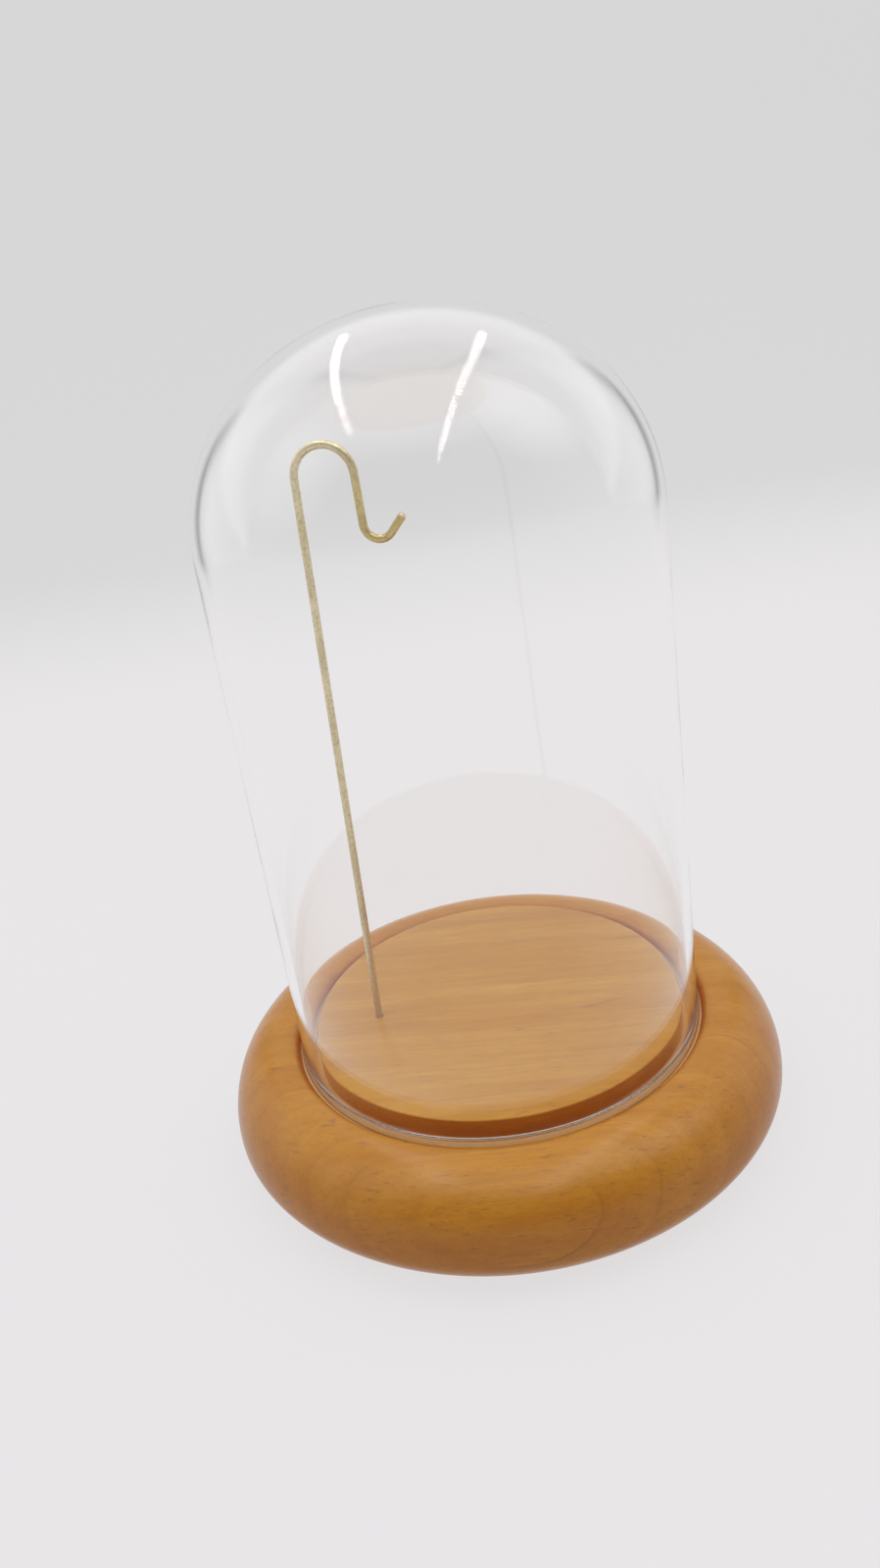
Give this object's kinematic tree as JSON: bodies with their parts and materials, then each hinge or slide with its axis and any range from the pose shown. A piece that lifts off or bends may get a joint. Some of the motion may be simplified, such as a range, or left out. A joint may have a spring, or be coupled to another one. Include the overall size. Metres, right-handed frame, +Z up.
{
  "type": "bell jar dome",
  "caption": "Display dome: clear glass bell jar standing in a groove round the raised plateau of a turned wooden base, with a bent brass wire hook inside for hanging a small item.",
  "frame": {"origin": "centre of the base's underside", "axes": "+Z up along the dome's axis, +X to the viewer's right with the viewer on the -Y side; the hook's foot is on the -X side"},
  "size_m": [0.1412, 0.1412, 0.196],
  "materials": {
    "lacquered_wood": "honey-coloured beech under satin lacquer",
    "clear_glass": "clear blown glass with a fire-polished rim",
    "brass_wire": "drawn brass wire, satin"
  },
  "bodies": {
    "base": {"turned_base": "lacquered_wood"},
    "dome": {"glass_dome": "clear_glass"},
    "hook": {"hook_wire": "brass_wire"}
  },
  "joints": [
    {"name": "dome_lift", "type": "slide", "parent": "base", "child": "dome", "axis": [0, 0, 1], "range_m": [0, 0.16]},
    {"name": "hook_swivel", "type": "hinge", "parent": "base", "child": "hook", "pos_m": [-0.0305, -0.0009, 0.0294], "axis": [0.0285, -0.0082, 0.9996], "range_deg": [-105, 140]}
  ]
}
